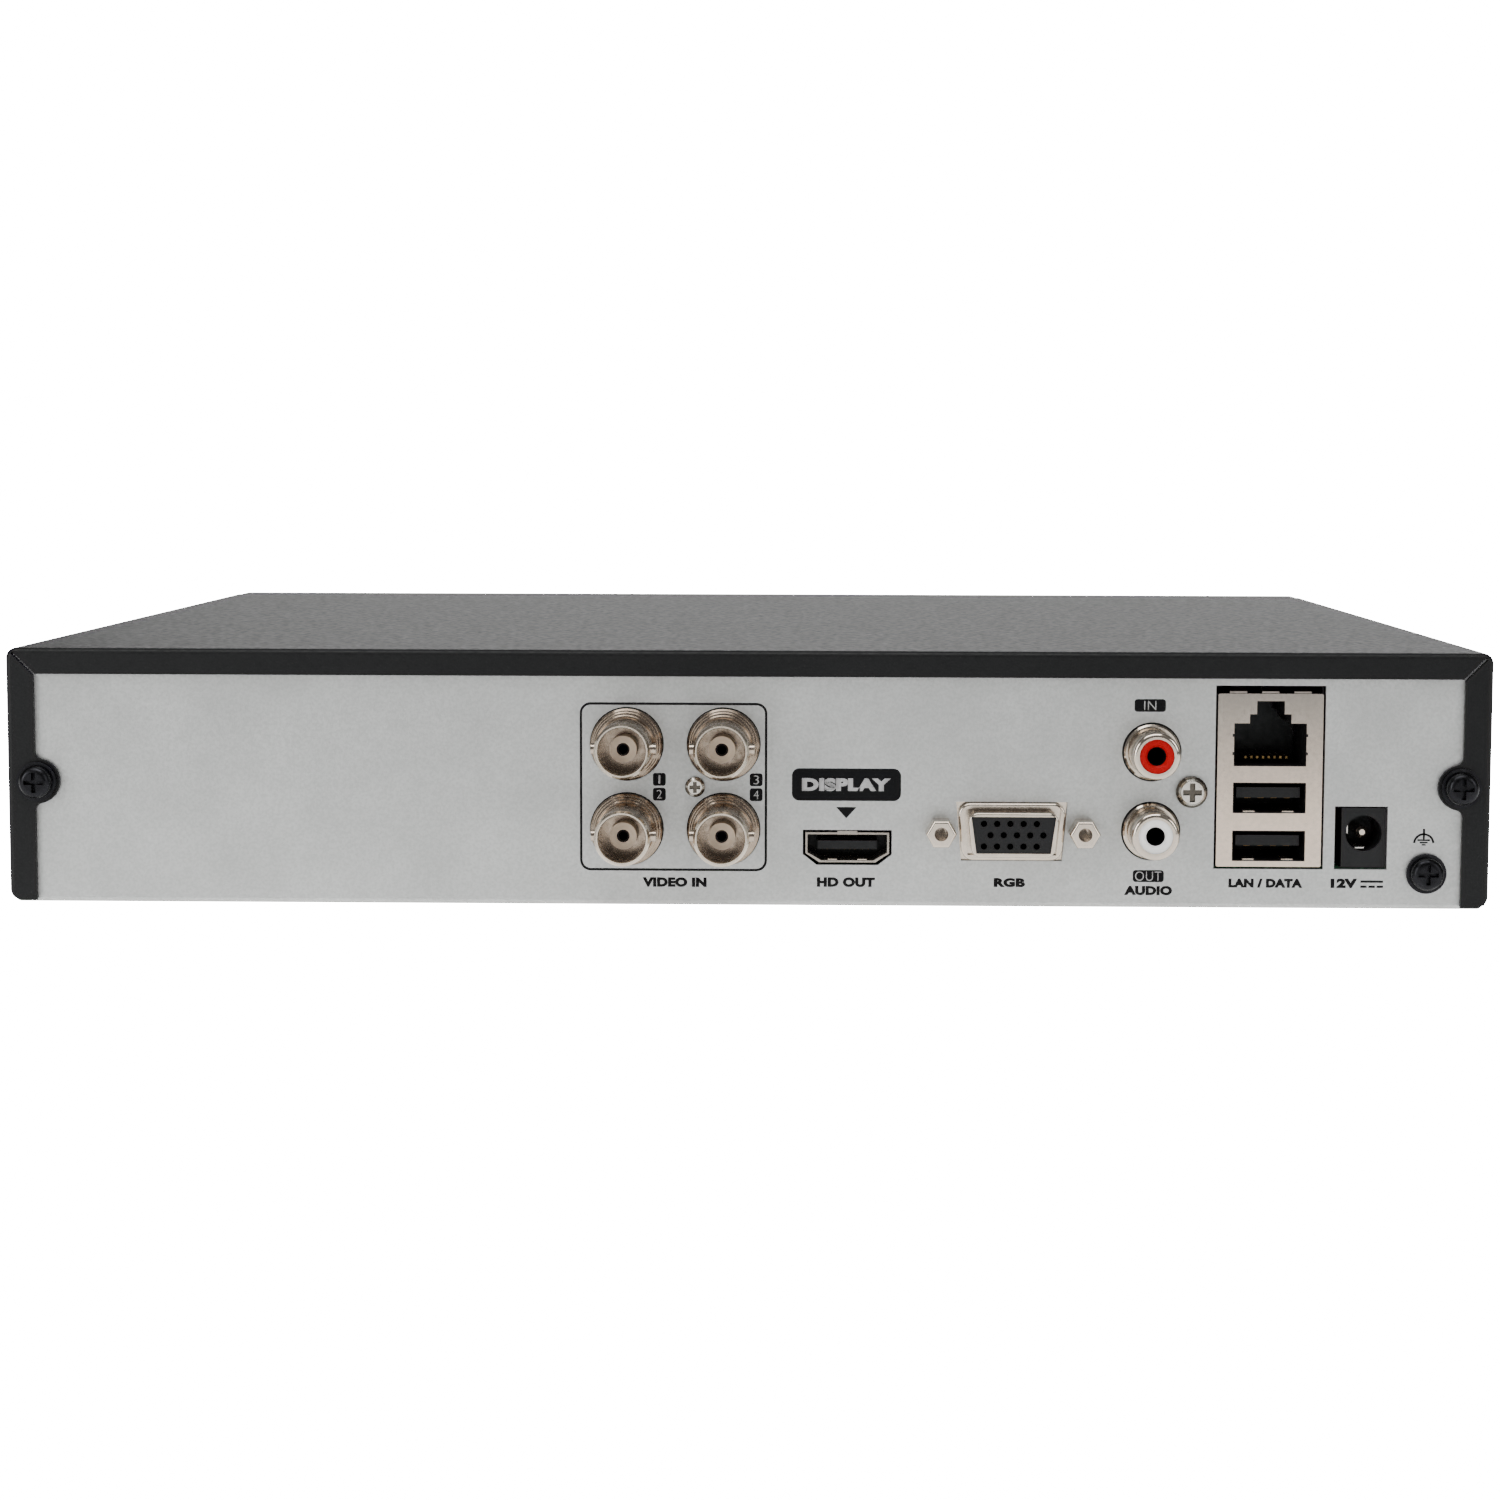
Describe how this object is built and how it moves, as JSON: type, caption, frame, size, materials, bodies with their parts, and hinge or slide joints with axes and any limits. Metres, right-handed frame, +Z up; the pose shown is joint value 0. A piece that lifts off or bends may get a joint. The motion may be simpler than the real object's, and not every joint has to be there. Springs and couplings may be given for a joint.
{
  "type": "video recorder",
  "caption": "Slim desktop surveillance video recorder: steel case with a slide-off cover, bayonet video jacks and screen, audio, network and power ports at the back, disk drive inside",
  "frame": {"origin": "on the standing surface, under the middle of the whole object with its jacks", "axes": "+Z up, +Y towards the rear jack panel, -Y towards the front bezel, +X to the left of someone who faces the rear panel"},
  "size_m": [0.26, 0.2354, 0.047],
  "materials": {
    "cover_coat": "fine-textured black powder coat",
    "zinc_sheet": "zinc-coated steel sheet, matt",
    "black_screw": "black zinc",
    "bright_steel": "bright nickel-plated steel",
    "foot_rubber": "matt",
    "bezel_plastic": "fine-grained moulded plastic",
    "window_gloss": "piano-black gloss",
    "clear_plastic": "clear",
    "lamp_plastic": "clear lens",
    "circuit_board": "green solder mask",
    "jack_nickel": "bright nickel plate",
    "shield_tin": "tin-plated stamped sheet",
    "white_dielectric": "waxy white",
    "gold_contact": "gold plate",
    "jack_black": "moulded, satin",
    "red_insert": "moulded, satin",
    "white_insert": "moulded, satin",
    "chip_epoxy": "moulded epoxy",
    "sink_aluminium": "black anodised",
    "can_aluminium": "satin",
    "header_plastic": "natural nylon",
    "cell_steel": "bright",
    "data_sheath": "flexible vinyl",
    "wire_sheath": "flexible vinyl",
    "drive_casting": "cast, e-coated",
    "drive_lid": "brushed sheet",
    "platter_mirror": "polished disk",
    "arm_aluminium": "machined"
  },
  "bodies": {
    "chassis": {"chassis": "zinc_sheet", "rubber_feet": "foot_rubber", "clinch_nuts": "bright_steel", "front_bezel": "bezel_plastic", "front_window": "window_gloss", "light_pipes": "clear_plastic", "lamp_board": "circuit_board", "status_lamps": "lamp_plastic", "mainboard": "circuit_board", "board_standoffs": "bright_steel", "board_screws": "bright_steel", "bnc_barrel_1": "jack_nickel", "bnc_barrel_2": "jack_nickel", "bnc_barrel_3": "jack_nickel", "bnc_barrel_4": "jack_nickel", "bnc_dielectrics": "white_dielectric", "bnc_contacts": "gold_contact", "bnc_block": "jack_black", "bnc_block_screw": "bright_steel", "hd_port_shell": "jack_nickel", "hd_port_core": "jack_black", "vga_shell": "jack_nickel", "vga_core": "jack_black", "vga_posts": "jack_nickel", "phono_barrel_in": "jack_nickel", "phono_insert_in": "red_insert", "phono_barrel_out": "jack_nickel", "phono_insert_out": "white_insert", "phono_block": "jack_black", "phono_screw": "bright_steel", "stack_shield": "shield_tin", "stack_core": "jack_black", "network_contacts": "gold_contact", "power_inlet": "jack_black", "power_pin": "jack_nickel", "processor": "chip_epoxy", "heat_sink": "sink_aluminium", "board_chips": "chip_epoxy", "capacitors_and_coils": "can_aluminium", "cell_holder": "jack_black", "coin_cell": "cell_steel", "buzzer": "jack_black", "cable_headers": "header_plastic", "drive_casting": "drive_casting", "drive_lid": "drive_lid", "drive_magnets": "cell_steel", "drive_board": "circuit_board", "drive_sockets": "jack_black", "drive_screws": "bright_steel", "cable_plugs": "jack_black", "data_lead": "data_sheath", "power_wires": "wire_sheath", "lamp_wires": "wire_sheath"},
    "cover": {"top_cover": "cover_coat"},
    "cover_screw_left": {"cover_screw_left": "black_screw"},
    "cover_screw_right": {"cover_screw_right": "black_screw"},
    "ground_screw": {"ground_screw": "black_screw"},
    "drive_spindle": {"drive_hub": "arm_aluminium", "drive_platter": "platter_mirror"},
    "drive_arm": {"drive_arm": "arm_aluminium"}
  },
  "joints": [
    {"name": "cover_slide", "type": "slide", "parent": "chassis", "child": "cover", "axis": [0, 1, 0], "range_m": [0, 0.215]},
    {"name": "cover_screw_left_turn", "type": "hinge", "parent": "cover", "child": "cover_screw_left", "pos_m": [0.1247, 0.10425, 0.0235], "axis": [0, 1, 0], "continuous": true},
    {"name": "cover_screw_right_turn", "type": "hinge", "parent": "cover", "child": "cover_screw_right", "pos_m": [-0.1247, 0.10425, 0.0235], "axis": [0, 1, 0], "continuous": true},
    {"name": "ground_screw_turn", "type": "hinge", "parent": "chassis", "child": "ground_screw", "pos_m": [-0.1191, 0.10325, 0.0084], "axis": [0, 1, 0], "continuous": true},
    {"name": "spindle_spin", "type": "hinge", "parent": "chassis", "child": "drive_spindle", "pos_m": [0.0752, -0.05145, 0.022], "axis": [0, 0, 1], "continuous": true},
    {"name": "arm_swing", "type": "hinge", "parent": "chassis", "child": "drive_arm", "pos_m": [0.015, -0.06825, 0.022], "axis": [0, 0, 1], "range_deg": [0, 30]}
  ]
}
